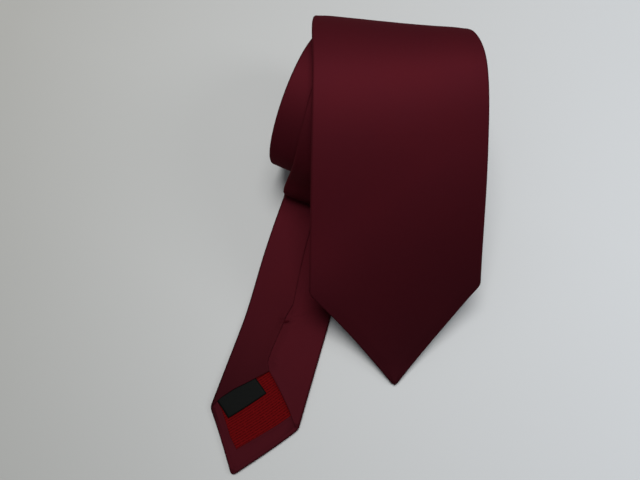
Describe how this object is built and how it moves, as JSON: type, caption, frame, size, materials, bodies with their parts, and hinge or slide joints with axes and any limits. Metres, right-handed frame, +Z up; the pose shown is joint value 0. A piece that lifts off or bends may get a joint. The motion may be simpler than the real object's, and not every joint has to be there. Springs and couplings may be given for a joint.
{
  "type": "necktie",
  "caption": "Pointed satin necktie rolled up from its folded neck, wide blade lapped over the front of the roll and narrow tail fanned out flat, reverse side up.",
  "frame": {"origin": "centre of the flat where the roll rests on the table, midway between the ends of the roll's inner turns", "axes": "+Z up; X along the roll's axis; the tail runs out along -Y, and the blade's lap runs out over the front between -Y and +X"},
  "size_m": [0.1258, 0.2358, 0.0868],
  "materials": {
    "satin": "burgundy microfibre satin, soft sheen",
    "tipping": "bright red ribbed lining",
    "label": "black woven satin ribbon, no lettering",
    "interlining": "brushed wool-blend interlining",
    "thread": "burgundy sewing thread"
  },
  "bodies": {
    "roll": {"blade_shell_outer_turn": "satin", "blade_shell_inner_turns": "satin", "neck_gusset": "satin", "tail_shell_rolled": "satin", "interlining_rolled": "interlining", "slip_stitch_rolled": "thread"},
    "blade": {"blade_shell_lap": "satin", "interlining_lap": "interlining", "blade_tipping": "tipping", "slip_stitch_lap": "thread", "blade_bar_tack": "thread", "keeper_loop": "satin"},
    "tail": {"tail_shell_laid": "satin", "interlining_laid": "interlining", "slip_stitch_laid": "thread", "tail_bar_tack": "thread"},
    "tail_end": {"tail_shell_end": "satin", "interlining_end": "interlining", "tail_tipping": "tipping", "slip_stitch_end": "thread"},
    "label": {"care_label": "label"}
  },
  "joints": [
    {"name": "blade_lift", "type": "hinge", "parent": "roll", "child": "blade", "pos_m": [0.016, 0.00684, 0.0868], "axis": [-0.9205, -0.3907, 0], "range_deg": [0, 60]},
    {"name": "tail_swing", "type": "hinge", "parent": "roll", "child": "tail", "pos_m": [-0.01924, -0.05108, 0.0015], "axis": [0, 0, -1], "range_deg": [0, 35]},
    {"name": "tail_lift", "type": "hinge", "parent": "tail", "child": "tail_end", "pos_m": [0.00544, -0.11875, 0.003], "axis": [-0.9976, -0.0698, 0], "range_deg": [0, 75]},
    {"name": "label_flip", "type": "hinge", "parent": "tail_end", "child": "label", "pos_m": [-0.0084, -0.1559, 0.003], "axis": [-0.596, -0.803, 0], "range_deg": [0, 100]}
  ]
}
